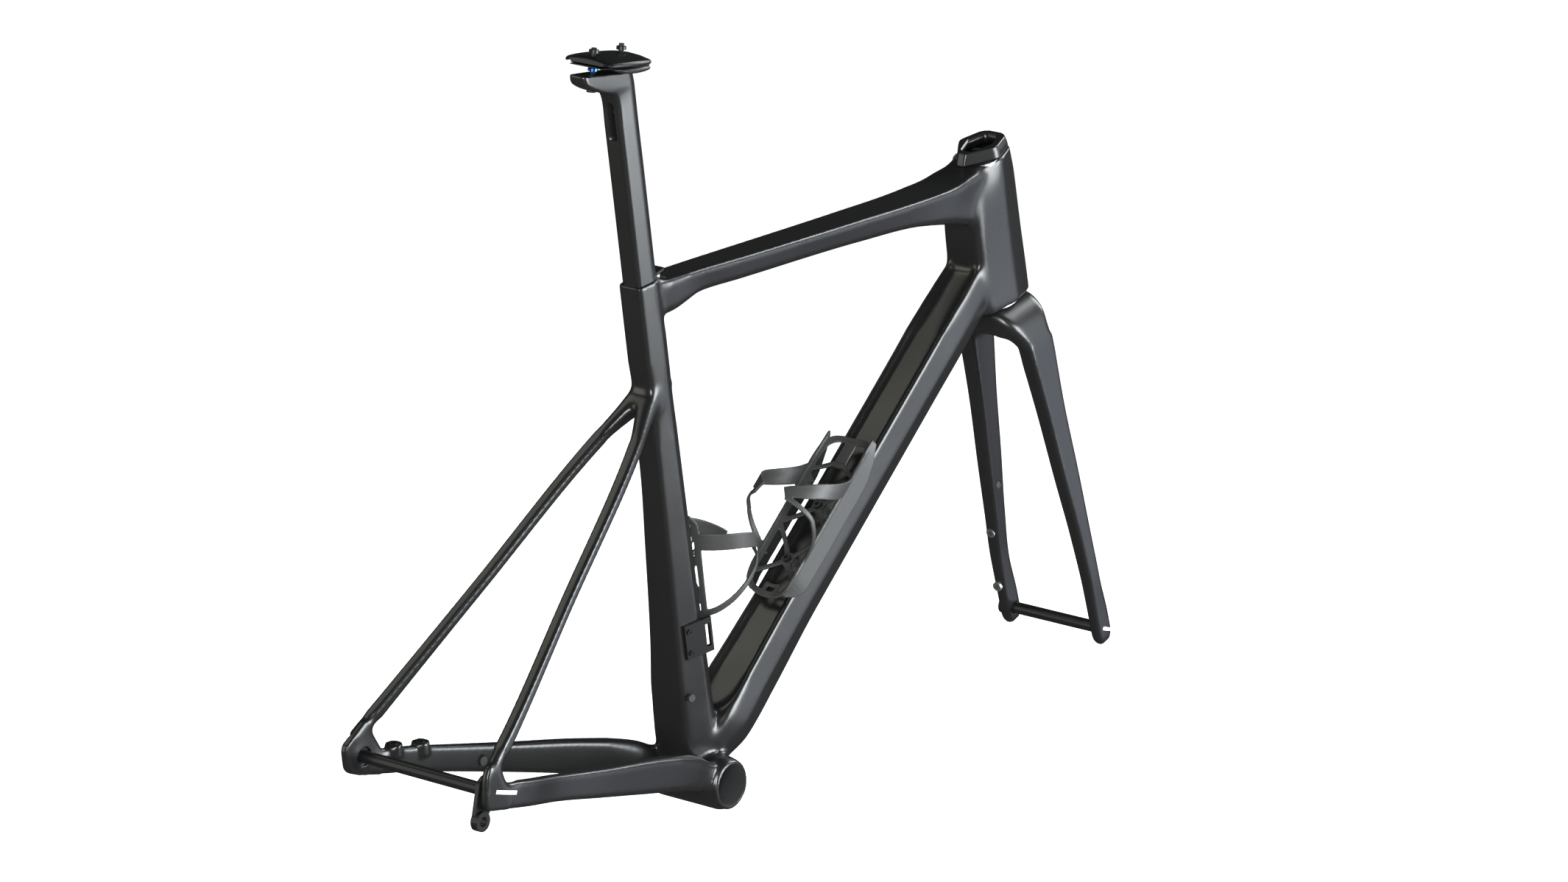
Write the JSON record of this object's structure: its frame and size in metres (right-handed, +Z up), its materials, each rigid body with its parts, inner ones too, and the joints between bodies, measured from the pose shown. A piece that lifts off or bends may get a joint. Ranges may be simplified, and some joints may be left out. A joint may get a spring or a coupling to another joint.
{
  "type": "bicycle frame",
  "caption": "Carbon road bicycle frame set: frame, turning fork, sliding seatpost with saddle clamp, through-axles and bottle cages.",
  "frame": {"origin": "centre of the bottom bracket shell", "axes": "+X forward, towards the fork; +Y to the rider's left; +Z up"},
  "size_m": [1.0252, 0.1696, 0.743],
  "materials": {
    "black_anodised": "black anodised aluminium",
    "blue_anodised": "blue anodised aluminium",
    "cage_composite": "matte glass-filled nylon, dark grey",
    "rubber_black": "matte black rubber",
    "satin_carbon": "satin clear-coated carbon fibre, near black",
    "steel": "bare stainless steel"
  },
  "bodies": {
    "frame": {"bottom_bracket_shell": "satin_carbon", "chainstay_grommet": "rubber_black", "chainstay_left": "satin_carbon", "chainstay_right": "satin_carbon", "derailleur_hanger": "black_anodised", "derailleur_mount_screw_lower": "black_anodised", "derailleur_mount_screw_upper": "black_anodised", "down_tube": "satin_carbon", "down_tube_cage": "cage_composite", "down_tube_cage_bolt_lower": "black_anodised", "down_tube_cage_bolt_upper": "black_anodised", "down_tube_cage_boss_lower": "steel", "down_tube_cage_boss_upper": "steel", "dropout_left": "satin_carbon", "dropout_right": "satin_carbon", "front_derailleur_mount": "black_anodised", "hanger_bolt": "steel", "head_tube": "satin_carbon", "headset_cover": "satin_carbon", "lower_bearing": "steel", "rear_axle_insert": "steel", "rear_brake_sleeve_front": "black_anodised", "rear_brake_sleeve_rear": "black_anodised", "seat_clamp_bolt": "steel", "seat_clamp_cover": "satin_carbon", "seat_tube": "satin_carbon", "seat_tube_cage": "cage_composite", "seat_tube_cage_bolt_lower": "black_anodised", "seat_tube_cage_bolt_upper": "black_anodised", "seat_tube_cage_boss_lower": "steel", "seat_tube_cage_boss_upper": "steel", "seat_tube_grommet": "rubber_black", "seatstay_left": "satin_carbon", "seatstay_right": "satin_carbon", "seatstay_yoke": "satin_carbon", "top_tube": "satin_carbon", "upper_bearing": "steel"},
    "fork": {"compression_ring": "black_anodised", "crown_race": "steel", "fork_brake_insert_lower": "steel", "fork_brake_insert_upper": "steel", "fork_crown": "satin_carbon", "fork_hose_grommet": "rubber_black", "fork_leg_left": "satin_carbon", "fork_leg_right": "satin_carbon", "fork_steerer": "satin_carbon", "front_axle_insert": "steel"},
    "front_axle": {"front_axle": "black_anodised"},
    "rear_axle": {"rear_axle": "black_anodised"},
    "seatpost": {"saddle_clamp_bolt_front": "black_anodised", "saddle_clamp_bolt_rear": "steel", "saddle_clamp_nut_front": "black_anodised", "saddle_clamp_nut_rear": "black_anodised", "saddle_clamp_washer": "blue_anodised", "seatpost": "satin_carbon"},
    "saddle_clamp": {"saddle_clamp_lower": "black_anodised", "saddle_clamp_upper": "black_anodised"},
    "seat_clamp_wedge": {"seat_clamp_wedge": "steel"}
  },
  "joints": [
    {"name": "steering", "type": "hinge", "parent": "frame", "child": "fork", "pos_m": [0.41816, 0, 0.43667], "axis": [-0.3024, 0, 0.9532], "range_deg": [-45, 45]},
    {"name": "front_axle_slide", "type": "slide", "parent": "fork", "child": "front_axle", "axis": [0, 1, 0], "range_m": [0, 0.125]},
    {"name": "rear_axle_slide", "type": "slide", "parent": "frame", "child": "rear_axle", "axis": [0, 1, 0], "range_m": [0, 0.17]},
    {"name": "seatpost_height", "type": "slide", "parent": "frame", "child": "seatpost", "axis": [-0.2731, 0, 0.962], "range_m": [-0.085, 0.04]},
    {"name": "saddle_tilt", "type": "hinge", "parent": "seatpost", "child": "saddle_clamp", "pos_m": [-0.208, 0, 0.6923], "axis": [0, 1, 0], "range_deg": [-4, 4]},
    {"name": "seat_clamp_wedge_slide", "type": "slide", "parent": "frame", "child": "seat_clamp_wedge", "axis": [0.2731, 0, -0.962], "range_m": [0, 0.003]}
  ]
}
